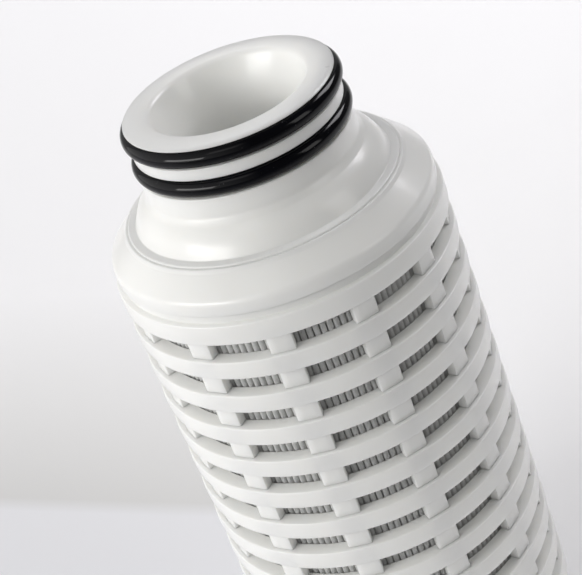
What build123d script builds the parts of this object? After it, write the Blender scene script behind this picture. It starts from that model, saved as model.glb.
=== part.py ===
from build123d import *

import math
import os

# Pleated filter cartridge with one open end that plugs into a housing by a double O-ring spigot.
# Lengths are millimetres and angles are degrees.
# The origin is the centre of the flat bottom face, and +Z runs up the axis to the open spigot.

# Cage, the slotted sleeve that guards the pleats
cage_radius = 34.5
ring_proud = 1.1
cage_wall = 2.2
slot_rows = 12
slot_columns = 12
slot_height = 4.25
ring_height = 4.0
end_ring_height = 4.4
collar_height = 1.8
collar_recess = 0.2
rib_angle = 8.7

# Bottom cap, a closed cup whose wall the top cap shares
cap_wall = 2.6
bottom_cap_height = 11.85
bottom_floor = 4.0
bottom_edge_round = 2.5

# Top cap, a cup with a conical shoulder and an open centre
top_rim_height = 2.85
top_pocket_height = 1.25
shoulder_run = 4.3
shoulder_slope = 0.92
shoulder_corner_round = 1.8

# Spigot, the turned-down end that carries the O-rings
land_radius = 21.6
lip_thickness = 0.8
lip_crown_radius = 18.6
groove_floor_radius = 19.15
groove_width = 3.9
land_width = 2.5
neck_radius = 22.0
neck_length = 4.9
neck_blend = 1.2
throat_radius = 16.1
throat_drop = 0.35
throat_round = 1.7
bore_radius = 12.7
funnel_depth = 8.5

# Flange of the spigot, a dome with a flat rim that sits in the top cap
flange_rim_width = 1.8
dome_bulge = 0.6
flange_rim_thickness = 1.1
flange_edge_round = 0.4
dome_height = 5.9
locating_boss_inset = 2.4
locating_boss_depth = 2.6

# Weld bead that the cap raises round the flange
bead_width = 1.0
bead_crest_width = 0.5
bead_height = 0.7

# O-rings
o_ring_section = 3.5
o_ring_gap = 0.05

# Core, the perforated tube that holds the pleats open from inside
core_radius = 17.5
core_wall = 2.4
core_window_rows = 5
core_window_columns = 5
core_post_angle = 26.0
core_band = 4.0
core_end_band = 12.0

# Pleated sheets
pleat_count = 48
ply_count = 3
ply_step = 1.2
ply_gap = 0.06

# Clearances between pieces
slip_gap = 0.1
pleat_gap = 0.3
core_socket_depth = 1.5
core_plug_depth = 4.0

# Radii shared by pieces that fit together
slot_floor_radius = cage_radius - ring_proud
cage_bore_radius = slot_floor_radius - cage_wall
cap_radius = cage_bore_radius + cap_wall
collar_radius = slot_floor_radius - collar_recess
core_bore_radius = core_radius - core_wall
core_socket_radius = core_radius + slip_gap
core_plug_radius = core_bore_radius - slip_gap
bead_outer_radius = cap_radius - shoulder_run
bead_inner_radius = bead_outer_radius - bead_width
flange_radius = bead_inner_radius - slip_gap
dome_foot_radius = flange_radius - flange_rim_width
locating_boss_radius = flange_radius - locating_boss_inset
boss_socket_radius = locating_boss_radius + slip_gap
pack_radius = cage_bore_radius - pleat_gap
pack_bore_radius = core_radius + pleat_gap
o_ring_path_radius = groove_floor_radius + o_ring_gap + o_ring_section / 2

# Levels along the axis
slot_field_height = slot_rows * slot_height + (slot_rows - 1) * ring_height
cage_length = slot_field_height + 2 * (end_ring_height + collar_height)
cage_foot = bottom_cap_height
cage_top = cage_foot + cage_length
shoulder_corner_level = cage_top + top_rim_height
flange_seat_level = shoulder_corner_level + shoulder_run * shoulder_slope
flange_rim_level = flange_seat_level + flange_rim_thickness
neck_foot_level = flange_rim_level + dome_height
lower_groove_foot = neck_foot_level + neck_length
lower_groove_top = lower_groove_foot + groove_width
upper_groove_foot = lower_groove_top + land_width
upper_groove_top = upper_groove_foot + groove_width
crown_level = upper_groove_top + lip_thickness
boss_foot_level = flange_seat_level - locating_boss_depth
plate_level = boss_foot_level - slip_gap
top_pocket_level = cage_top + top_pocket_height
lower_o_ring_level = lower_groove_foot + groove_width / 2
upper_o_ring_level = upper_groove_foot + groove_width / 2
core_foot = bottom_floor - core_socket_depth
core_top = top_pocket_level + core_socket_depth
core_plug_foot = core_top - core_plug_depth

# Angles round the axis
slot_angle = 360 / slot_columns - rib_angle
core_window_angle = 360 / core_window_columns - core_post_angle


def with_round(face, radius, level, size):
    """Round the corner of a profile that lies at this radius and level."""
    corner = face.vertices().sort_by_distance((radius, level, 0))[0]
    return face.fillet_2d(size, [corner])


def turned(profile):
    """Turn a profile, drawn as radius and level, once round the axis."""
    return revolve(Plane.XZ * profile, Axis.Z)


def ring_sector(inner_radius, outer_radius, angle, height):
    """Make a block of a ring, centred on +X and standing on the XY plane."""
    inner_arc = CenterArc((0, 0), inner_radius, -angle / 2, angle)
    outer_arc = CenterArc((0, 0), outer_radius, -angle / 2, angle)
    sides = [Line(inner_arc @ 0, outer_arc @ 0), Line(inner_arc @ 1, outer_arc @ 1)]
    return extrude(make_face([inner_arc, outer_arc] + sides), height)


def window_pattern(block, columns, levels):
    """Repeat a cutting block round the axis and at each level."""
    turn = 360 / columns
    return [Pos(0, 0, level) * Rot(0, 0, turn * column) * block
            for level in levels for column in range(columns)]


def make_spigot_adapter():
    """The end fitting: rolled mouth, funnel, two O-ring grooves, neck, dome, flange and locating boss."""
    crown_arc = EllipticalCenterArc(
        (lip_crown_radius, upper_groove_top), land_radius - lip_crown_radius, lip_thickness,
        start_angle=0, arc_size=90)
    funnel = Polyline(
        (lip_crown_radius, crown_level),
        (throat_radius, crown_level - throat_drop),
        (bore_radius, crown_level - funnel_depth))
    grooves = Polyline(
        (land_radius, upper_groove_top),
        (groove_floor_radius, upper_groove_top),
        (groove_floor_radius, upper_groove_foot),
        (land_radius, upper_groove_foot),
        (land_radius, lower_groove_top),
        (groove_floor_radius, lower_groove_top),
        (groove_floor_radius, lower_groove_foot),
        (neck_radius, lower_groove_foot),
        (neck_radius, neck_foot_level))
    dome_run = dome_foot_radius - neck_radius
    dome_chord = math.hypot(dome_run, dome_height)
    dome_middle = (
        neck_radius + dome_run / 2 + dome_bulge * dome_height / dome_chord,
        neck_foot_level - dome_height / 2 + dome_bulge * dome_run / dome_chord)
    dome = ThreePointArc(
        (neck_radius, neck_foot_level), dome_middle, (dome_foot_radius, flange_rim_level))
    underside = Polyline(
        (dome_foot_radius, flange_rim_level),
        (flange_radius, flange_rim_level),
        (flange_radius, flange_seat_level),
        (locating_boss_radius, flange_seat_level),
        (locating_boss_radius, boss_foot_level),
        (bore_radius, boss_foot_level),
        (bore_radius, crown_level - funnel_depth))
    outline = crown_arc.edges() + grooves.edges() + dome.edges() + underside.edges() + funnel.edges()
    profile = make_face(outline).face()
    profile = with_round(profile, throat_radius, crown_level - throat_drop, throat_round)
    profile = with_round(profile, neck_radius, neck_foot_level, neck_blend)
    profile = with_round(profile, flange_radius, flange_rim_level, flange_edge_round)
    return turned(profile)


def make_o_ring(level):
    """A seal ring, resting in the groove whose middle is at this level."""
    return Pos(0, 0, level) * Torus(o_ring_path_radius, o_ring_section / 2)


def make_top_end_cap():
    """The upper cup: conical shoulder, weld bead, flange seat, pleat pocket and the plug in the core."""
    outline = Polyline(
        (bore_radius, plate_level),
        (boss_socket_radius, plate_level),
        (boss_socket_radius, flange_seat_level),
        (bead_inner_radius, flange_seat_level),
        (bead_inner_radius, flange_seat_level + bead_height),
        (bead_inner_radius + bead_crest_width, flange_seat_level + bead_height),
        (bead_outer_radius, flange_seat_level),
        (cap_radius, shoulder_corner_level),
        (cap_radius, cage_top),
        (cage_bore_radius, cage_top),
        (cage_bore_radius, top_pocket_level),
        (core_socket_radius, top_pocket_level),
        (core_socket_radius, core_top),
        (core_plug_radius, core_top),
        (core_plug_radius, core_plug_foot),
        (bore_radius, core_plug_foot),
        close=True)
    profile = make_face(outline.edges()).face()
    profile = with_round(profile, cap_radius, shoulder_corner_level, shoulder_corner_round)
    return turned(profile)


def make_bottom_end_cap():
    """The closed lower cup, with a flat foot and sockets for the pleats and the core."""
    outline = Polyline(
        (0, 0),
        (cap_radius, 0),
        (cap_radius, bottom_cap_height),
        (cage_bore_radius, bottom_cap_height),
        (cage_bore_radius, bottom_floor),
        (core_socket_radius, bottom_floor),
        (core_socket_radius, core_foot),
        (0, core_foot),
        close=True)
    profile = make_face(outline.edges()).face()
    profile = with_round(profile, cap_radius, 0, bottom_edge_round)
    return turned(profile)


def make_outer_cage():
    """The sleeve of stacked hoops on upright ribs, open in a grid of slots."""
    first_slot = cage_foot + collar_height + end_ring_height
    slot_levels = [first_slot + row * (slot_height + ring_height) for row in range(slot_rows)]
    outline = [
        (cage_bore_radius, cage_foot),
        (collar_radius, cage_foot),
        (collar_radius, cage_foot + collar_height),
        (cage_radius, cage_foot + collar_height)]
    for level in slot_levels:
        outline += [
            (cage_radius, level),
            (slot_floor_radius, level),
            (slot_floor_radius, level + slot_height),
            (cage_radius, level + slot_height)]
    outline += [
        (cage_radius, cage_top - collar_height),
        (collar_radius, cage_top - collar_height),
        (collar_radius, cage_top),
        (cage_bore_radius, cage_top)]
    sleeve = turned(make_face(Polyline(*outline, close=True).edges()).face())
    slot = ring_sector(cage_bore_radius - cage_wall, cage_radius, slot_angle, slot_height)
    return sleeve - window_pattern(slot, slot_columns, slot_levels)


def make_inner_core():
    """The perforated tube down the middle, which the filtered liquid flows into."""
    core_length = core_top - core_foot
    windows_height = core_length - 2 * core_end_band - (core_window_rows - 1) * core_band
    window_height = windows_height / core_window_rows
    first_window = core_foot + core_end_band
    levels = [first_window + row * (window_height + core_band) for row in range(core_window_rows)]
    tube = Pos(0, 0, core_foot) * extrude(Circle(core_radius) - Circle(core_bore_radius), core_length)
    window = ring_sector(
        core_bore_radius - core_wall, core_radius + core_wall, core_window_angle, window_height)
    return tube - window_pattern(window, core_window_columns, levels)


def pleat_outline(depth):
    """The closed zigzag of folds, moved towards the axis by this depth."""
    half_pleat = 180 / pleat_count
    outer_fold = pack_radius - depth
    inner_fold = pack_bore_radius + ply_count * ply_step - depth
    folds = []
    for pleat in range(pleat_count):
        for radius, angle in ((outer_fold, 2 * pleat), (inner_fold, 2 * pleat + 1)):
            turn = math.radians(angle * half_pleat)
            folds.append((radius * math.cos(turn), radius * math.sin(turn)))
    return Polyline(*folds, close=True)


def make_ply(ply):
    """One pleated sheet of the pack, counted inwards from 0."""
    outside = make_face(pleat_outline(ply * ply_step).edges())
    inside = make_face(pleat_outline((ply + 1) * ply_step - ply_gap).edges())
    return Pos(0, 0, bottom_floor) * extrude(outside - inside, top_pocket_level - bottom_floor)


pieces = {
    "spigot_adapter": make_spigot_adapter(),
    "upper_o_ring": make_o_ring(upper_o_ring_level),
    "lower_o_ring": make_o_ring(lower_o_ring_level),
    "top_end_cap": make_top_end_cap(),
    "outer_cage": make_outer_cage(),
    "upstream_support_layer": make_ply(0),
    "filter_membrane": make_ply(1),
    "downstream_support_layer": make_ply(2),
    "inner_core": make_inner_core(),
    "bottom_end_cap": make_bottom_end_cap(),
}

os.makedirs("parts", exist_ok=True)
for name, piece in pieces.items():
    piece.label = name
    export_step(piece, f"parts/{name}.step")
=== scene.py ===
"""Scene of a pleated filter cartridge: white moulded fittings, black seal rings and a pleated pack."""

import logging
import math
from dataclasses import dataclass, field
from enum import Enum

import bpy
from mathutils import Matrix, Vector


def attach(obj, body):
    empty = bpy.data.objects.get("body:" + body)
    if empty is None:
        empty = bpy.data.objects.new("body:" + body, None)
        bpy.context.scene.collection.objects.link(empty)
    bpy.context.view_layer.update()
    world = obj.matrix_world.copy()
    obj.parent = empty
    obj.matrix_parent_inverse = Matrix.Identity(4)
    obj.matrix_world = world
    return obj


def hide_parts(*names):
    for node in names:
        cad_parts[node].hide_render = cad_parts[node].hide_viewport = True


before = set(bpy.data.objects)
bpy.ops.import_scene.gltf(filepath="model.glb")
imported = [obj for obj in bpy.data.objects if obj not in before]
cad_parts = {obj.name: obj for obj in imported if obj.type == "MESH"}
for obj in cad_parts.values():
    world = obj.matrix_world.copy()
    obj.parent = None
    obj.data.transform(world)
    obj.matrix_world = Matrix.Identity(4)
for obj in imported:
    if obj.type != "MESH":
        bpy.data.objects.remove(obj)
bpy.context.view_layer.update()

MM = 0.001
log = logging.getLogger("cartridge")

Point = tuple[float, float]
Triple = tuple[float, float, float]


class Slot(Enum):
    """The record's material slots."""

    WHITE = "white_polypropylene"
    BLACK = "black_elastomer"
    SUPPORT = "support_nonwoven"
    MEMBRANE = "membrane_sheet"


@dataclass(frozen=True)
class Seats:
    """Levels and radii in millimetres that two or more pieces share.

    Levels run up the axis from the flat base. The slip is the gap between a piece and the socket round it.
    """

    flange: float = 126.056
    boss_foot: float = 123.456
    core_top: float = 122.0
    pack_top: float = 120.5
    cage_top: float = 119.25
    cage_foot: float = 11.85
    pack_foot: float = 4.0
    core_foot: float = 2.5
    cap_radius: float = 33.8
    cage_bore: float = 31.2
    boss_radius: float = 26.0
    core_radius: float = 17.5
    core_bore: float = 15.1
    outlet: float = 12.7
    slip: float = 0.1


SEATS = Seats()


# Finishes


@dataclass
class NodeBench:
    """Adds and wires the nodes of one material."""

    name: str
    material: bpy.types.Material = field(init=False)
    output: bpy.types.Node = field(init=False)
    place: bpy.types.Node = field(init=False)

    def __post_init__(self) -> None:
        """Make a node material that holds only its output and its coordinates."""
        self.material = bpy.data.materials.new(self.name)
        self.material.use_nodes = True
        self.material.node_tree.nodes.clear()
        self.output = self.add("ShaderNodeOutputMaterial")
        self.place = self.add("ShaderNodeTexCoord")

    def add(self, kind: str, **settings: object) -> bpy.types.Node:
        """Add a node and set its sockets and properties.

        Args:
            kind: The node's type name.
            settings: Property names, or socket names with underscores for spaces.

        Returns:
            The new node.
        """
        node = self.material.node_tree.nodes.new(kind)
        for key, value in settings.items():
            socket = node.inputs.get(key.replace("_", " "))
            if socket is not None:
                socket.default_value = value
            else:
                setattr(node, key, value)
        return node

    def wire(self, out: bpy.types.NodeSocket, into: bpy.types.NodeSocket) -> None:
        """Join two sockets.

        Args:
            out: The output socket.
            into: The input socket that it feeds.
        """
        self.material.node_tree.links.new(out, into)

    def grain(self, scale: float, detail: float = 2.0, stretch: Triple = (1, 1, 1),
              roughness: float = 0.5) -> bpy.types.NodeSocket:
        """Add a noise on the object's own coordinates.

        Args:
            scale: Features per metre, roughly.
            detail: Octaves of finer noise.
            stretch: Scale of each axis, to draw the noise out.
            roughness: Weight of the finer octaves.

        Returns:
            The noise's factor socket.
        """
        mapping = self.add("ShaderNodeMapping", Scale=stretch)
        noise = self.add("ShaderNodeTexNoise", Scale=scale, Detail=detail, Roughness=roughness)
        self.wire(self.place.outputs["Object"], mapping.inputs["Vector"])
        self.wire(mapping.outputs["Vector"], noise.inputs["Vector"])
        return noise.outputs["Fac"]

    def spread(self, value: bpy.types.NodeSocket, low: float, high: float,
               start: float = 0.3, end: float = 0.7) -> bpy.types.NodeSocket:
        """Map a factor to a range of values.

        Args:
            value: The factor socket.
            low: Value at the start.
            high: Value at the end.
            start: Factor that gives the low value.
            end: Factor that gives the high value.

        Returns:
            The mapped socket.
        """
        node = self.add("ShaderNodeMapRange", From_Min=start, From_Max=end, To_Min=low, To_Max=high)
        self.wire(value, node.inputs["Value"])
        return node.outputs["Result"]

    def tones(self, value: bpy.types.NodeSocket, stops: list[tuple[float, Triple]]) -> bpy.types.NodeSocket:
        """Colour a factor through a ramp.

        Args:
            value: The factor socket.
            stops: Positions and linear colours.

        Returns:
            The colour socket.
        """
        ramp = self.add("ShaderNodeValToRGB")
        elements = ramp.color_ramp.elements
        while len(elements) < len(stops):
            elements.new(0.5)
        for element, (position, colour) in zip(elements, stops):
            element.position = position
            element.color = (*colour, 1.0)
        self.wire(value, ramp.inputs["Fac"])
        return ramp.outputs["Color"]

    def blend(self, factor: bpy.types.NodeSocket, low: Triple | bpy.types.NodeSocket,
              high: Triple | bpy.types.NodeSocket) -> bpy.types.NodeSocket:
        """Blend two colours.

        Args:
            factor: The factor socket.
            low: Linear colour or colour socket where the factor is 0.
            high: Linear colour or colour socket where the factor is 1.

        Returns:
            The colour socket.
        """
        node = self.add("ShaderNodeMix", data_type="RGBA")
        self.wire(factor, node.inputs["Factor"])
        for colour, socket in ((low, node.inputs[6]), (high, node.inputs[7])):
            if isinstance(colour, tuple):
                socket.default_value = (*colour, 1.0)
            else:
                self.wire(colour, socket)
        return node.outputs[2]

    def relief(self, value: bpy.types.NodeSocket, strength: float, depth: float,
               under: bpy.types.NodeSocket | None = None) -> bpy.types.NodeSocket:
        """Turn a factor into bumps.

        Args:
            value: The factor socket.
            strength: Share of the bump that shows.
            depth: Height of the bumps in metres.
            under: The normal of a coarser bump beneath, if any.

        Returns:
            The normal socket.
        """
        bump = self.add("ShaderNodeBump", Strength=strength, Distance=depth)
        self.wire(value, bump.inputs["Height"])
        if under is not None:
            self.wire(under, bump.inputs["Normal"])
        return bump.outputs["Normal"]

    def surfaced(self, shader: bpy.types.Node, **feeds: bpy.types.NodeSocket) -> bpy.types.Material:
        """Feed the surface shader and wire it to the output.

        Args:
            shader: The surface shader.
            feeds: The socket that feeds each named input, with underscores for spaces.

        Returns:
            The finished material.
        """
        for key, out in feeds.items():
            self.wire(out, shader.inputs[key.replace("_", " ")])
        self.wire(shader.outputs["BSDF"], self.output.inputs["Surface"])
        return self.material


@dataclass(frozen=True)
class SatinPolypropylene:
    """Natural white polypropylene as moulded: slightly milky, satin, with soft flow marks.

    Scales are in features per metre, heights and the depth of the glow in metres.
    """

    name: str = "satin_polypropylene"
    pale: Triple = (0.88, 0.88, 0.86)
    milky: Triple = (0.84, 0.845, 0.825)
    flow_scale: float = 26.0
    gloss: float = 0.26
    satin: float = 0.38
    patch_scale: float = 90.0
    glow: float = 0.5
    glow_depth: float = 0.003
    glow_tint: Triple = (1.0, 0.96, 0.9)
    ripple_scale: float = 150.0
    ripple_height: float = 0.00005
    skin_scale: float = 3200.0
    skin_height: float = 0.000012

    def mix(self) -> bpy.types.Material:
        """Build the material.

        Returns:
            The finished material.
        """
        bench = NodeBench(self.name)
        shader = bench.add("ShaderNodeBsdfPrincipled", IOR=1.49, Subsurface_Weight=self.glow,
                           Subsurface_Scale=self.glow_depth, Subsurface_Radius=self.glow_tint,
                           Coat_Weight=0.25, Coat_Roughness=0.12)
        flow = bench.grain(self.flow_scale, 3.0, (1.0, 1.0, 0.45))
        patches = bench.grain(self.patch_scale, 4.0, (1.0, 1.0, 0.6))
        ripple = bench.relief(bench.grain(self.ripple_scale), 0.35, self.ripple_height)
        skin = bench.relief(bench.grain(self.skin_scale, 3.0, roughness=0.6), 0.3, self.skin_height, ripple)
        return bench.surfaced(shader, Base_Color=bench.tones(flow, [(0.2, self.milky), (0.8, self.pale)]),
                              Roughness=bench.spread(patches, self.gloss, self.satin, 0.2, 0.8), Normal=skin)


@dataclass(frozen=True)
class BlackElastomer:
    """Moulded black seal rubber with a faint blue cast, a light bloom and a few specks of dust.

    Scales are in features per metre and heights in metres.
    """

    name: str = "black_seal_rubber"
    deep: Triple = (0.0003, 0.0004, 0.0012)
    bloom: Triple = (0.001, 0.0012, 0.003)
    bloom_scale: float = 220.0
    dust: Triple = (0.045, 0.045, 0.05)
    dust_scale: float = 2100.0
    gloss: float = 0.08
    satin: float = 0.14
    patch_scale: float = 420.0
    mould_scale: float = 240.0
    mould_height: float = 0.000012
    skin_scale: float = 4200.0
    skin_height: float = 0.000004

    def mix(self) -> bpy.types.Material:
        """Build the material.

        Returns:
            The finished material.
        """
        bench = NodeBench(self.name)
        shader = bench.add("ShaderNodeBsdfPrincipled", IOR=1.5, Specular_IOR_Level=0.2)
        haze = bench.tones(bench.grain(self.bloom_scale, 4.0), [(0.3, self.deep), (0.72, self.bloom)])
        # Only the highest peaks of the noise are dust.
        specks = bench.spread(bench.grain(self.dust_scale, 1.0), 0.0, 1.0, 0.745, 0.79)
        patches = bench.grain(self.patch_scale, 3.0)
        mould = bench.relief(bench.grain(self.mould_scale), 0.25, self.mould_height)
        skin = bench.relief(bench.grain(self.skin_scale), 0.15, self.skin_height, mould)
        return bench.surfaced(shader, Base_Color=bench.blend(specks, haze, self.dust),
                              Roughness=bench.spread(patches, self.gloss, self.satin), Normal=skin)


@dataclass(frozen=True)
class FibreSheet:
    """White nonwoven or membrane sheet: matte, with fibres that run two ways and a soft sheen.

    The scale is in features per metre, the height and the depth of the glow in metres.
    """

    name: str
    light: Triple = (0.78, 0.78, 0.76)
    shade: Triple = (0.71, 0.71, 0.69)
    fibre_scale: float = 1500.0
    fibre_height: float = 0.00009
    glow_depth: float = 0.002
    glow_tint: Triple = (1.0, 0.97, 0.93)

    def mix(self) -> bpy.types.Material:
        """Build the material.

        Returns:
            The finished material.
        """
        bench = NodeBench(self.name)
        shader = bench.add("ShaderNodeBsdfPrincipled", Roughness=0.86, Subsurface_Weight=0.7,
                           Subsurface_Scale=self.glow_depth, Subsurface_Radius=self.glow_tint,
                           Sheen_Weight=0.25, Sheen_Roughness=0.5)
        upright = bench.grain(self.fibre_scale, 4.0, (1.0, 1.0, 0.22), 0.65)
        level = bench.grain(self.fibre_scale * 0.7, 4.0, (0.3, 1.0, 1.0), 0.65)
        weave = bench.add("ShaderNodeMath", operation="MAXIMUM")
        bench.wire(upright, weave.inputs[0])
        bench.wire(level, weave.inputs[1])
        fibres = weave.outputs[0]
        tone = bench.tones(fibres, [(0.40, self.shade), (0.66, self.light)])
        return bench.surfaced(shader, Base_Color=tone, Normal=bench.relief(fibres, 0.7, self.fibre_height))


@dataclass(frozen=True)
class StudioPaper:
    """Pale paper for the floor, with a soft grey band of painted shade behind the cartridge and a front
    darkened by painted shade.

    The painted shade band passes through the point fold on the floor and is crossed in the direction beyond,
    both in metres.
    """

    name: str = "studio_paper"
    bright: Triple = (0.93, 0.93, 0.94)
    dull: Triple = (0.90, 0.90, 0.91)
    # The near, shaded and fading tones paint a band of shade on the floor, darkest at the shaded stop.
    near: Triple = (0.77, 0.775, 0.80)
    shaded: Triple = (0.66, 0.66, 0.655)
    fading: Triple = (0.78, 0.78, 0.78)
    # Painted shade for the paper towards the camera.
    front: Triple = (0.26, 0.26, 0.27)
    # fold is a point on the band of painted shade; the paper lies flat there.
    fold: Triple = (-0.0948, 0.121, 0.0)
    beyond: Triple = (0.5914, 0.8064, 0.0)
    lead: float = 0.05
    fade: float = 0.15

    def mix(self) -> bpy.types.Material:
        """Build the material.

        Returns:
            The finished material.
        """
        bench = NodeBench(self.name)
        shader = bench.add("ShaderNodeBsdfPrincipled", Roughness=0.8)
        depth = bench.add("ShaderNodeVectorMath", operation="DOT_PRODUCT")
        bench.wire(bench.place.outputs["Object"], depth.inputs[0])
        depth.inputs[1].default_value = self.beyond
        start = Vector(self.fold).dot(Vector(self.beyond))
        run = bench.spread(depth.outputs["Value"], 0.0, 1.0, start - self.lead, start + self.fade)
        band = bench.tones(run, [(0.235, self.near), (0.262, self.shaded), (0.48, self.fading),
                                 (0.76, self.dull)])
        clouds = bench.tones(bench.grain(3.0, 3.0), [(0.35, self.dull), (0.65, self.bright)])
        parts = bench.add("ShaderNodeSeparateXYZ")
        bench.wire(bench.place.outputs["Object"], parts.inputs["Vector"])
        # The painted shade band shows on the left only, and painted shade darkens the paper towards the
        # camera.
        rightward = bench.spread(parts.outputs["X"], 0.0, 1.0, -0.03, 0.03)
        # Painted front shade: full 32 cm in front of the axis, gone 8 cm in front of it.
        front_shade_fade = bench.spread(parts.outputs["Y"], 0.0, 1.0, -0.32, -0.08)
        floor = bench.blend(front_shade_fade, self.front, bench.blend(rightward, band, clouds))
        return bench.surfaced(shader, Base_Color=floor,
                              Normal=bench.relief(bench.grain(900.0, 3.0), 0.15, 0.00004))


# Shop tools


@dataclass
class Outline:
    """A run of corners in the plane of radius and level, in millimetres, some of them rounded."""

    points: list[Point] = field(default_factory=list)
    rounds: list[float] = field(default_factory=list)

    def corner(self, radius: float, level: float, size: float = 0.0) -> None:
        """Add a corner, unless it falls on the last one.

        Args:
            radius: Distance from the axis.
            level: Height above the base.
            size: Radius of the corner's rounding.
        """
        if not self.points or math.dist(self.points[-1], (radius, level)) > 0.001:
            self.points.append((radius, level))
            self.rounds.append(size)

    def arc(self, centre: Point, across: float, up: float, start: float, end: float, steps: int) -> None:
        """Add points along an elliptical arc.

        Args:
            centre: Centre of the ellipse.
            across: Half width of the ellipse.
            up: Half height of the ellipse.
            start: First angle in degrees.
            end: Last angle in degrees.
            steps: Number of runs between the points.
        """
        for step in range(steps + 1):
            turn = math.radians(start + (end - start) * step / steps)
            self.corner(centre[0] + across * math.cos(turn), centre[1] + up * math.sin(turn))

    def traced(self, closed: bool = True, steps: int = 5) -> list[Point]:
        """Work out the run of points with its rounded corners.

        Args:
            closed: Whether the last corner joins the first.
            steps: Runs along each rounding.

        Returns:
            The points, in millimetres.
        """
        run: list[Point] = []
        count = len(self.points)
        for index, (corner, size) in enumerate(zip(self.points, self.rounds)):
            inner = closed or 0 < index < count - 1
            if size <= 0 or not inner:
                run.append(corner)
                continue
            here = Vector(corner)
            before = (Vector(self.points[index - 1]) - here).normalized()
            after = (Vector(self.points[(index + 1) % count]) - here).normalized()
            half = before.angle(after) / 2
            # A corner that is almost straight needs no rounding.
            if half > math.radians(89):
                run.append(corner)
                continue
            middle = here + (before + after).normalized() * (size / math.sin(half))
            first = here + before * (size / math.tan(half)) - middle
            last = here + after * (size / math.tan(half)) - middle
            whole = first.angle(last)
            for step in range(steps + 1):
                share = step / steps
                near = math.sin((1 - share) * whole) / math.sin(whole)
                far = math.sin(share * whole) / math.sin(whole)
                spot = middle + first * near + last * far
                run.append((spot.x, spot.y))
        return run


@dataclass
class Workbench:
    """Models pieces in edit mode and puts the finished ones on the frame.

    Attributes:
        steps: Facets of a turned piece, once round the axis.
        crease: Angle in radians above which an edge stays sharp.
    """

    steps: int = 224
    crease: float = math.radians(32)

    def draw(self, name: str, spots: list[Vector]) -> bpy.types.Object:
        """Draw a chain of edges, each vertex pulled from the last, and stay in edit mode.

        Args:
            name: Name of the new object.
            spots: Places of the vertices, in metres.

        Returns:
            The object, in edit mode with all of the chain selected.
        """
        bpy.ops.object.select_all(action="DESELECT")
        bpy.ops.mesh.primitive_plane_add(size=0.001)
        piece = bpy.context.active_object
        piece.name = name
        piece.data.name = name
        bpy.ops.object.mode_set(mode="EDIT")
        bpy.ops.mesh.select_all(action="SELECT")
        bpy.ops.mesh.merge(type="CENTER")
        bpy.ops.transform.translate(value=spots[0])
        for start, end in zip(spots, spots[1:]):
            bpy.ops.mesh.extrude_vertices_move(TRANSFORM_OT_translate={"value": end - start})
        bpy.ops.mesh.select_all(action="SELECT")
        return piece

    def turn(self, name: str, outline: list[Point], closed: bool = True) -> bpy.types.Object:
        """Turn an outline once round the axis.

        Args:
            name: Name of the new object.
            outline: Points as radius and level, in millimetres.
            closed: Whether the outline is a loop; if not, its two ends lie on the axis.

        Returns:
            The turned piece.
        """
        piece = self.draw(name, [Vector((radius, 0, level)) * MM for radius, level in outline])
        if closed:
            bpy.ops.mesh.edge_face_add()
            bpy.ops.mesh.delete(type="ONLY_FACE")
            bpy.ops.mesh.select_all(action="SELECT")
        bpy.ops.mesh.spin(steps=self.steps, angle=math.tau, center=(0, 0, 0), axis=(0, 0, 1))
        self.close()
        return piece

    def close(self) -> None:
        """Merge doubles, point the faces outwards and leave edit mode."""
        bpy.ops.mesh.select_all(action="SELECT")
        bpy.ops.mesh.remove_doubles(threshold=0.002 * MM)
        bpy.ops.mesh.normals_make_consistent(inside=False)
        bpy.ops.object.mode_set(mode="OBJECT")
        bpy.ops.object.shade_smooth_by_angle(angle=self.crease)

    def joined(self, name: str, pieces: list[bpy.types.Object]) -> bpy.types.Object:
        """Join pieces into one object.

        Args:
            name: Name of the joined object.
            pieces: The pieces, of which the first is kept.

        Returns:
            The joined object.
        """
        bpy.ops.object.select_all(action="DESELECT")
        for piece in pieces:
            piece.select_set(True)
        bpy.context.view_layer.objects.active = pieces[0]
        bpy.ops.object.join()
        whole = bpy.context.active_object
        whole.name = name
        whole.data.name = name
        bpy.ops.object.shade_smooth_by_angle(angle=self.crease)
        return whole

    def deliver(self, piece: bpy.types.Object, node: str, finish: bpy.types.Material) -> None:
        """Dress a piece and its CAD node in one finish, and let the piece stand for the node.

        Args:
            piece: The finished piece.
            node: The CAD node that it replaces.
            finish: The material of both.
        """
        piece.data.materials.clear()
        piece.data.materials.append(finish)
        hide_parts(node)
        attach(piece, "root")
        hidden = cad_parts[node]
        hidden.data.materials.clear()
        hidden.data.materials.append(finish)
        log.info("%s: %d faces, for %s", piece.name, len(piece.data.polygons), node)


# Pieces of the cartridge, with all lengths in millimetres


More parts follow.
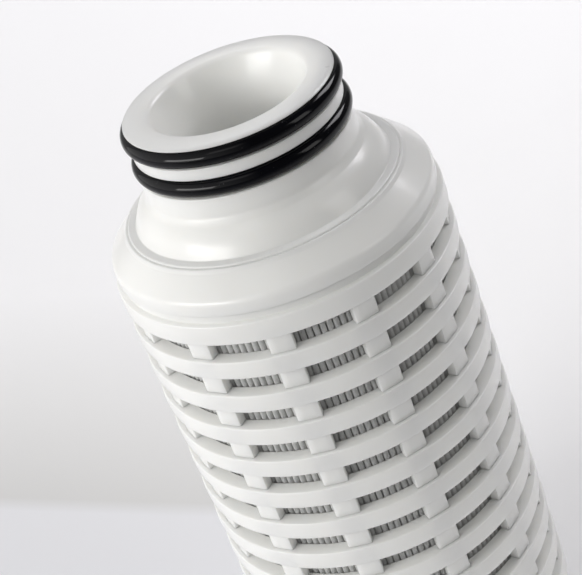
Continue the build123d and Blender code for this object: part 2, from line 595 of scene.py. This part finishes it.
@dataclass
class SpigotFitting:
    """The open end: rolled mouth, funnel, O-ring grooves, neck, dome, flange and locating boss."""

    crown: float = 149.056
    lip_foot: float = 148.256
    lip_corner: float = 0.1
    groove_top: float = 144.356
    land_foot: float = 141.856
    lower_groove_foot: float = 137.956
    neck_foot: float = 133.056
    rim: float = 127.156
    rim_corner: float = 0.25
    land: float = 21.6
    land_edge: float = 0.25
    crown_radius: float = 18.6
    groove_floor: float = 19.15
    groove_corner: float = 0.3
    neck: float = 22.0
    neck_fillet: float = 1.5
    neck_fillet_rise: float = 1.1
    throat: float = 16.1
    throat_drop: float = 0.35
    throat_round: float = 1.7
    funnel: float = 8.5
    dome_foot: float = 26.6
    dome_bulge: float = 0.6
    flange: float = 28.4
    flange_edge: float = 0.35
    boss_edge: float = 0.3

    @property
    def groove_levels(self) -> tuple[float, float]:
        """Levels of the middles of the upper and the lower groove."""
        return (self.lip_foot + self.groove_top) / 2, (self.land_foot + self.lower_groove_foot) / 2

    def dome(self, steps: int = 16) -> list[Point]:
        """Give the points of the convex dome, from the neck's foot to the flange.

        Args:
            steps: Number of runs along the dome.

        Returns:
            The points between the two ends.
        """
        top = Vector((self.neck, self.neck_foot))
        foot = Vector((self.dome_foot, self.rim))
        side = (foot - top).orthogonal().normalized()
        side = side if side.x > 0 else -side
        spots = [top.lerp(foot, step / steps) + side * self.dome_bulge * math.sin(math.pi * step / steps)
                 for step in range(1, steps)]
        return [(spot.x, spot.y) for spot in spots]

    def build(self, bench: Workbench) -> bpy.types.Object:
        """Turn the fitting.

        Args:
            bench: The workbench.

        Returns:
            The fitting.
        """
        outline = Outline()
        outline.arc((self.crown_radius, self.lip_foot), self.land - self.crown_radius,
                    self.crown - self.lip_foot, 97, 6, 13)
        outline.corner(self.land, self.lip_foot, self.lip_corner)
        outline.corner(self.groove_floor, self.lip_foot, self.groove_corner)
        outline.corner(self.groove_floor, self.groove_top, self.groove_corner)
        outline.corner(self.land, self.groove_top, self.land_edge)
        outline.corner(self.land, self.land_foot, self.land_edge)
        outline.corner(self.groove_floor, self.land_foot, self.groove_corner)
        outline.corner(self.groove_floor, self.lower_groove_foot, self.groove_corner)
        outline.corner(self.neck, self.lower_groove_foot, self.groove_corner)
        outline.corner(self.neck, self.neck_foot + self.neck_fillet)
        outline.arc((self.neck + self.neck_fillet, self.neck_foot + self.neck_fillet_rise),
                    self.neck_fillet, self.neck_fillet, 172, 222, 6)
        # The fillet stands for the dome's first point.
        for radius, level in self.dome()[1:]:
            outline.corner(radius, level)
        outline.corner(self.dome_foot, self.rim, self.rim_corner)
        outline.corner(self.flange, self.rim, self.flange_edge)
        outline.corner(self.flange, SEATS.flange)
        outline.corner(SEATS.boss_radius, SEATS.flange)
        outline.corner(SEATS.boss_radius, SEATS.boss_foot, self.boss_edge)
        outline.corner(SEATS.outlet, SEATS.boss_foot)
        outline.corner(SEATS.outlet, self.crown - self.funnel)
        outline.corner(self.throat, self.crown - self.throat_drop, self.throat_round)
        return bench.turn("spigot_fitting", outline.traced(steps=8))


@dataclass
class SealRing:
    """A round O-ring in its groove.

    Attributes:
        name: Name of the piece.
        level: Height of its middle.
        path: Radius from the axis to the middle of its section.
        section: Thickness of the ring.
        facets: Sides of its round section.
    """

    name: str
    level: float
    path: float = 20.95
    section: float = 3.5
    facets: int = 44

    def build(self, bench: Workbench) -> bpy.types.Object:
        """Turn the ring.

        Args:
            bench: The workbench.

        Returns:
            The ring.
        """
        half = self.section / 2
        turns = [math.tau * facet / self.facets for facet in range(self.facets)]
        spots = [(self.path + half * math.cos(turn), self.level + half * math.sin(turn)) for turn in turns]
        return bench.turn(self.name, spots)


@dataclass
class ShoulderCap:
    """The top cap: rim, conical shoulder, weld bead round the flange and a plug that centres the core."""

    rim_edge: float = 0.2
    shoulder: float = 122.1
    shoulder_round: float = 1.8
    bead_inner: float = 28.2
    bead_outer: float = 29.5
    bead_crown: float = 0.75
    bead_height: float = 0.7
    bead_foot: float = 0.5
    plug_foot: float = 118.0
    soft_edge: float = 0.3

    def build(self, bench: Workbench) -> bpy.types.Object:
        """Turn the cap.

        Args:
            bench: The workbench.

        Returns:
            The cap.
        """
        plate = SEATS.boss_foot - SEATS.slip
        boss_socket = SEATS.boss_radius + SEATS.slip
        core_socket = SEATS.core_radius + SEATS.slip
        plug = SEATS.core_bore - SEATS.slip
        bead_top = SEATS.flange + self.bead_height
        outline = Outline()
        outline.corner(SEATS.outlet, plate)
        outline.corner(boss_socket, plate)
        outline.corner(boss_socket, SEATS.flange)
        outline.corner(self.bead_inner, SEATS.flange)
        outline.corner(self.bead_inner, bead_top)
        outline.corner(self.bead_inner + self.bead_crown, bead_top, self.soft_edge)
        outline.corner(self.bead_outer, SEATS.flange, self.bead_foot)
        outline.corner(SEATS.cap_radius, self.shoulder, self.shoulder_round)
        outline.corner(SEATS.cap_radius, SEATS.cage_top, self.rim_edge)
        outline.corner(SEATS.cage_bore, SEATS.cage_top)
        outline.corner(SEATS.cage_bore, SEATS.pack_top)
        outline.corner(core_socket, SEATS.pack_top)
        outline.corner(core_socket, SEATS.core_top)
        outline.corner(plug, SEATS.core_top)
        outline.corner(plug, self.plug_foot, self.soft_edge)
        outline.corner(SEATS.outlet, self.plug_foot, self.soft_edge)
        return bench.turn("shoulder_cap", outline.traced(steps=8))


@dataclass
class FootCap:
    """The closed lower cap with its rounded foot edge."""

    foot_edge: float = 2.5
    rim_edge: float = 0.2

    def build(self, bench: Workbench) -> bpy.types.Object:
        """Turn the cap.

        Args:
            bench: The workbench.

        Returns:
            The cap.
        """
        core_socket = SEATS.core_radius + SEATS.slip
        outline = Outline()
        outline.corner(0, 0)
        outline.corner(SEATS.cap_radius, 0, self.foot_edge)
        outline.corner(SEATS.cap_radius, SEATS.cage_foot, self.rim_edge)
        outline.corner(SEATS.cage_bore, SEATS.cage_foot)
        outline.corner(SEATS.cage_bore, SEATS.pack_foot)
        outline.corner(core_socket, SEATS.pack_foot)
        outline.corner(core_socket, SEATS.core_foot)
        outline.corner(0, SEATS.core_foot)
        return bench.turn("foot_cap", outline.traced(closed=False, steps=8), closed=False)


@dataclass
class SlottedSleeve:
    """A tube of hoops on upright posts, open in a grid of slots.

    Attributes:
        name: Name of the piece.
        foot: Level of the lower end.
        top: Level of the upper end.
        inner: Radius of the bore.
        outer: Radius of the hoops.
        post_face: Radius of the posts' outer face.
        collar: Radius of the recessed collar at each end.
        collar_height: Height of that collar.
        first_slot: Level of the lowest slots.
        rows: Slots up the sleeve.
        columns: Slots round the sleeve.
        slot_height: Height of a slot.
        band: Height of a hoop between two rows.
        post_angle: Width of a post, in degrees round the axis.
        crown: How much a hoop bulges.
        edge: Rounding of the edges.
        bite: How far the posts start outside the bore.
        overlap: How far the posts run into the end rings.
    """

    name: str
    foot: float
    top: float
    inner: float
    outer: float
    post_face: float
    collar: float
    collar_height: float
    first_slot: float
    rows: int
    columns: int
    slot_height: float
    band: float
    post_angle: float
    crown: float
    edge: float
    bite: float = 0.04
    overlap: float = 0.8

    @property
    def slots_top(self) -> float:
        """Level of the upper side of the highest slots."""
        return self.first_slot + self.rows * self.slot_height + (self.rows - 1) * self.band

    def end_ring(self, bench: Workbench, low: bool) -> bpy.types.Object:
        """Turn the ring and collar at one end.

        Args:
            bench: The workbench.
            low: Whether it is the lower end.

        Returns:
            The ring.
        """
        end, slot, way = (self.foot, self.first_slot, 1) if low else (self.top, self.slots_top, -1)
        collar_end = end + way * self.collar_height
        outline = Outline()
        outline.corner(self.inner, end)
        outline.corner(self.collar, end, self.edge * 0.5)
        outline.corner(self.collar, collar_end, self.edge * 0.5)
        outline.corner(self.outer, collar_end, self.edge)
        outline.corner(self.outer, slot, self.edge)
        outline.corner(self.inner, slot)
        return bench.turn(f"{self.name}_end", outline.traced())

    def hoop(self, bench: Workbench, level: float) -> bpy.types.Object:
        """Turn one crowned hoop.

        Args:
            bench: The workbench.
            level: Height of its lower face.

        Returns:
            The hoop.
        """
        side = self.outer - self.crown
        bulge = self.outer - self.crown * 0.25
        outline = Outline()
        outline.corner(self.inner, level, self.edge * 0.5)
        outline.corner(side, level, self.edge)
        outline.corner(bulge, level + self.band * 0.28)
        outline.corner(self.outer, level + self.band * 0.5)
        outline.corner(bulge, level + self.band * 0.72)
        outline.corner(side, level + self.band, self.edge)
        outline.corner(self.inner, level + self.band, self.edge * 0.5)
        return bench.turn(f"{self.name}_hoop", outline.traced())

    def posts(self, bench: Workbench) -> bpy.types.Object:
        """Raise one post between two columns of slots and repeat it round the axis.

        Args:
            bench: The workbench.

        Returns:
            The posts.
        """
        pitch = math.tau / self.columns
        half = math.radians(self.post_angle) / 2
        soft = self.edge / self.post_face
        back = self.inner + self.bite
        side = self.post_face - self.edge
        rounded = self.post_face - self.edge * 0.3
        # The section runs along the back, out along one side, across the face and in along the other side.
        stations = [(back, half * share) for share in (-1.0, -0.33, 0.33, 1.0)]
        stations += [(side, half), (rounded, half - soft * 0.3), (self.post_face, half - soft)]
        stations += [(self.post_face, half * share) for share in (0.4, 0.0, -0.4)]
        stations += [(self.post_face, soft - half), (rounded, soft * 0.3 - half), (side, -half)]
        low = self.first_slot - self.overlap
        high = self.slots_top + self.overlap
        spots = [Vector((radius * math.cos(pitch / 2 + turn), radius * math.sin(pitch / 2 + turn), low)) * MM
                 for radius, turn in stations]
        post = bench.draw(f"{self.name}_posts", spots)
        bpy.ops.mesh.edge_face_add()
        bpy.ops.mesh.extrude_region_move(TRANSFORM_OT_translate={"value": (0, 0, (high - low) * MM)})
        bpy.ops.mesh.select_all(action="SELECT")
        bpy.ops.mesh.spin(steps=self.columns - 1, dupli=True, angle=math.tau - pitch,
                          center=(0, 0, 0), axis=(0, 0, 1))
        bench.close()
        return post

    def build(self, bench: Workbench) -> bpy.types.Object:
        """Make the sleeve from its rings, hoops and posts.

        Args:
            bench: The workbench.

        Returns:
            The sleeve.
        """
        pieces = [self.posts(bench), self.end_ring(bench, True), self.end_ring(bench, False)]
        levels = [self.first_slot + self.slot_height + row * (self.slot_height + self.band)
                  for row in range(self.rows - 1)]
        pieces += [self.hoop(bench, level) for level in levels]
        return bench.joined(self.name, pieces)


@dataclass
class PleatedSheet:
    """One ply of the pack, folded into fine upright pleats with round tips.

    Attributes:
        name: Name of the piece.
        depth: How far the ply lies inside the outermost one.
        foot: Level of the lower edge.
        top: Level of the upper edge.
        tip: Radius of the outermost ply's tips.
        root: Radius of the outermost ply's folds.
        pleats: Number of pleats.
        fold: Half a pleat, from its tip to its fold, as shares of the reach between them.
        thickness: Thickness of the ply.
        rungs: Runs up the height.
    """

    name: str
    depth: float
    foot: float = SEATS.pack_foot
    top: float = SEATS.pack_top
    tip: float = 30.9
    root: float = 21.4
    pleats: int = 140
    fold: tuple[float, ...] = (1.0, 0.998, 0.992, 0.982, 0.965, 0.925, -0.97)
    thickness: float = 0.1
    rungs: int = 6

    def pick(self, sheet: bpy.types.Object, place: int) -> None:
        """Select the vertices this many steps from the tip of each pleat and enter edit mode.

        Args:
            sheet: The ring of vertices.
            place: Steps from the tip.
        """
        whole = 2 * (len(self.fold) - 1)
        bpy.ops.object.mode_set(mode="EDIT")
        bpy.ops.mesh.select_all(action="DESELECT")
        bpy.ops.object.mode_set(mode="OBJECT")
        for vertex in sheet.data.vertices:
            vertex.select = vertex.index % whole in (place, whole - place)
        bpy.ops.object.mode_set(mode="EDIT")

    def build(self, bench: Workbench) -> bpy.types.Object:
        """Fold the sheet from a ring of vertices, then raise and thicken it.

        Args:
            bench: The workbench.

        Returns:
            The sheet.
        """
        middle = (self.tip + self.root) / 2 - self.depth
        reach = (self.tip - self.root) / 2
        spots = self.pleats * 2 * (len(self.fold) - 1)
        bpy.ops.object.select_all(action="DESELECT")
        bpy.ops.mesh.primitive_circle_add(vertices=spots, radius=middle * MM,
                                          location=(0, 0, self.foot * MM))
        sheet = bpy.context.active_object
        bpy.ops.object.transform_apply(location=True)
        sheet.name = self.name
        sheet.data.name = self.name
        for place, share in enumerate(self.fold):
            self.pick(sheet, place)
            grow = (middle + reach * share) / middle
            bpy.ops.transform.resize(value=(grow, grow, 1), center_override=(0, 0, 0))
            bpy.ops.object.mode_set(mode="OBJECT")
        bpy.ops.object.mode_set(mode="EDIT")
        bpy.ops.mesh.select_all(action="SELECT")
        rise = (self.top - self.foot) / self.rungs * MM
        for _ in range(self.rungs):
            bpy.ops.mesh.extrude_edges_move(TRANSFORM_OT_translate={"value": (0, 0, rise)})
        bench.close()
        cloth = sheet.modifiers.new("ply", "SOLIDIFY")
        cloth.thickness = self.thickness * MM
        cloth.offset = -1
        bpy.ops.object.modifier_apply(modifier=cloth.name)
        return sheet


# Studio, with all lengths in metres


@dataclass
class Softbox:
    """A soft oblong lamp that faces a point, by default on the axis near the shoulder's foot.

    Attributes:
        name: Name of the lamp.
        spot: Where it hangs.
        width: Its width.
        height: Its height.
        power: Its power in watts.
        colour: Its linear colour.
        aim: The point that it faces.
        spread: Angle of its beam in degrees.
    """

    name: str
    spot: Triple
    width: float
    height: float
    power: float
    colour: Triple
    aim: Triple = (0, 0, 0.12)
    spread: float = 180.0

    def hang(self) -> None:
        """Add the lamp and turn it to its aim."""
        bpy.ops.object.select_all(action="DESELECT")
        bpy.ops.object.light_add(type="AREA", location=self.spot)
        lamp = bpy.context.active_object
        lamp.name = self.name
        lamp.data.shape = "RECTANGLE"
        lamp.data.size = self.width
        lamp.data.size_y = self.height
        lamp.data.energy = self.power
        lamp.data.color = self.colour
        lamp.data.spread = math.radians(self.spread)
        lamp.rotation_euler = (Vector(self.aim) - Vector(self.spot)).to_track_quat("-Z", "Y").to_euler()


@dataclass
class Studio:
    """Seamless floor, lamps, sky and the camera at the photograph's angle.

    Attributes:
        lens: Focal length in millimetres, for a sensor 36 mm wide.
        spot: The camera's place.
        yaw: Turn of its gaze from the +Y direction, in radians.
        pitch: How far it looks down, in radians.
        roll: Tilt of its picture, in radians.
        slot_turn: Turn of its gaze about the vertical that lines up the columns of slots, in radians.
        sky: Linear colour of the sky.
        sky_base: Strength of the sky on the right.
        sky_left: What is added to it on the far left.
        paper: Side of the square floor.
        curve_steps: Runs of the curve at the back edge.
        curve_run: Length of each run.
        backdrop: Height of the upright paper above the curve.
    """

    lens: float = 116.41
    spot: Triple = (-0.01314, -0.33301, 0.29725)
    yaw: float = -0.006
    pitch: float = 0.529
    roll: float = -0.367
    slot_turn: float = math.radians(-2.26)
    sky: Triple = (0.99, 0.98, 0.97)
    sky_base: float = 0.12
    sky_left: float = 1.25
    paper: float = 4.0
    curve_steps: int = 8
    curve_run: float = 0.12
    backdrop: float = 2.0

    def floor(self) -> None:
        """Lay the paper, with its back edge drawn up into a curve."""
        bpy.ops.object.select_all(action="DESELECT")
        bpy.ops.mesh.primitive_plane_add(size=self.paper)
        paper = bpy.context.active_object
        paper.name = "paper_floor"
        bpy.ops.object.mode_set(mode="EDIT")
        bpy.ops.mesh.select_all(action="DESELECT")
        bpy.ops.object.mode_set(mode="OBJECT")
        for edge in paper.data.edges:
            edge.select = all(paper.data.vertices[end].co.y > 0 for end in edge.vertices)
        bpy.ops.object.mode_set(mode="EDIT")
        bpy.ops.mesh.select_mode(type="EDGE")
        for step in range(self.curve_steps):
            turn = math.radians(90) * (step + 0.5) / self.curve_steps
            value = (0, self.curve_run * math.cos(turn), self.curve_run * math.sin(turn))
            bpy.ops.mesh.extrude_edges_move(TRANSFORM_OT_translate={"value": value})
        bpy.ops.mesh.extrude_edges_move(TRANSFORM_OT_translate={"value": (0, 0, self.backdrop)})
        bpy.ops.object.mode_set(mode="OBJECT")
        bpy.ops.object.shade_smooth_by_angle(angle=math.radians(40))
        paper.data.materials.append(StudioPaper().mix())

    def lamps(self) -> None:
        """Hang the lamps."""
        lamps = [
            Softbox("left_window", (-0.77, -0.34, 0.42), 0.62, 0.24, 3.4, (1.0, 0.99, 0.975)),
            Softbox("front_window", (-0.28, -0.42, 0.95), 0.4, 0.3, 0.35, (1.0, 0.99, 0.965)),
            Softbox("right_window", (0.68, -0.44, 0.46), 0.3, 0.5, 1.05, (1.0, 0.99, 0.965)),
            Softbox("rim_softbox", (0.54, 0.31, 0.6), 0.3, 0.3, 2.1, (0.98, 0.965, 1.0)),
            Softbox("floor_wash", (0.05, 1.0, 1.3), 0.8, 0.4, 1.6, (0.985, 0.975, 1.0),
                    aim=(0.05, 0.70, 0.0), spread=70.0),
        ]
        for lamp in lamps:
            lamp.hang()

    def daylight(self) -> None:
        """Light the sky, which is brightest on the left and even from the middle to the right."""
        world = bpy.data.worlds.new("studio_sky")
        bpy.context.scene.world = world
        world.use_nodes = True
        nodes, links = world.node_tree.nodes, world.node_tree.links
        background = nodes["Background"]
        background.inputs["Color"].default_value = (*self.sky, 1.0)
        place = nodes.new("ShaderNodeTexCoord")
        parts = nodes.new("ShaderNodeSeparateXYZ")
        fade = nodes.new("ShaderNodeMapRange")
        fade.inputs["From Min"].default_value = -1.0
        fade.inputs["From Max"].default_value = 0.0
        fade.inputs["To Min"].default_value = self.sky_base + self.sky_left
        fade.inputs["To Max"].default_value = self.sky_base
        links.new(place.outputs["Generated"], parts.inputs["Vector"])
        links.new(parts.outputs["X"], fade.inputs["Value"])
        links.new(fade.outputs["Result"], background.inputs["Strength"])

    def camera(self) -> None:
        """Place the camera and make it the scene's."""
        gaze = Vector((math.sin(self.yaw) * math.cos(self.pitch), math.cos(self.yaw) * math.cos(self.pitch),
                       -math.sin(self.pitch)))
        gaze = Matrix.Rotation(self.slot_turn, 3, "Z") @ gaze
        right = gaze.cross(Vector((0, 0, 1))).normalized()
        up = right.cross(gaze)
        across = right * math.cos(self.roll) + up * math.sin(self.roll)
        above = up * math.cos(self.roll) - right * math.sin(self.roll)
        pose = Matrix((across, above, -gaze)).transposed().to_4x4()
        pose.translation = Vector(self.spot)
        bpy.ops.object.camera_add()
        camera = bpy.context.active_object
        camera.name = "camera"
        camera.matrix_world = pose
        camera.data.lens = self.lens
        camera.data.sensor_width = 36.0
        camera.data.sensor_fit = "HORIZONTAL"
        camera.data.clip_start = 0.01
        bpy.context.scene.camera = camera

    def set_up(self) -> None:
        """Set up the floor, the lamps, the sky and the camera."""
        self.floor()
        self.lamps()
        self.daylight()
        self.camera()
        bpy.context.scene.view_settings.view_transform = "Standard"


def main() -> None:
    """Build the cartridge piece by piece and set up the studio."""
    logging.basicConfig(level=logging.INFO, format="%(message)s")
    bench = Workbench()
    white = SatinPolypropylene().mix()
    black = BlackElastomer().mix()
    support = FibreSheet("support_nonwoven").mix()
    membrane = FibreSheet("membrane_sheet", light=(0.82, 0.82, 0.81), shade=(0.74, 0.74, 0.73),
                          fibre_scale=3800.0, fibre_height=0.00003).mix()

    spigot = SpigotFitting()
    upper_level, lower_level = spigot.groove_levels
    upper_seal = SealRing("upper_seal", upper_level)
    lower_seal = SealRing("lower_seal", lower_level)
    cage = SlottedSleeve("outer_sleeve", foot=SEATS.cage_foot, top=SEATS.cage_top, inner=SEATS.cage_bore,
                         outer=34.5, post_face=33.4, collar=33.2, collar_height=1.8, first_slot=18.05,
                         rows=12, columns=12, slot_height=4.25, band=4.0, post_angle=8.7, crown=0.14,
                         edge=0.28)
    core = SlottedSleeve("core_tube", foot=SEATS.core_foot, top=SEATS.core_top, inner=SEATS.core_bore,
                         outer=SEATS.core_radius, post_face=SEATS.core_radius, collar=SEATS.core_radius,
                         collar_height=4.0, first_slot=14.5, rows=5, columns=5, slot_height=15.9, band=4.0,
                         post_angle=26.0, crown=0.0, edge=0.25)
    outer_ply = PleatedSheet("outer_ply", depth=0.0)
    middle_ply = PleatedSheet("middle_ply", depth=1.2)
    inner_ply = PleatedSheet("inner_ply", depth=2.4)

    bench.deliver(spigot.build(bench), "spigot_adapter", white)
    bench.deliver(upper_seal.build(bench), "upper_o_ring", black)
    bench.deliver(lower_seal.build(bench), "lower_o_ring", black)
    bench.deliver(ShoulderCap().build(bench), "top_end_cap", white)
    bench.deliver(cage.build(bench), "outer_cage", white)
    bench.deliver(core.build(bench), "inner_core", white)
    bench.deliver(FootCap().build(bench), "bottom_end_cap", white)
    bench.deliver(outer_ply.build(bench), "upstream_support_layer", support)
    bench.deliver(middle_ply.build(bench), "filter_membrane", membrane)
    bench.deliver(inner_ply.build(bench), "downstream_support_layer", support)

    Studio().set_up()


if __name__ == "__main__":
    main()
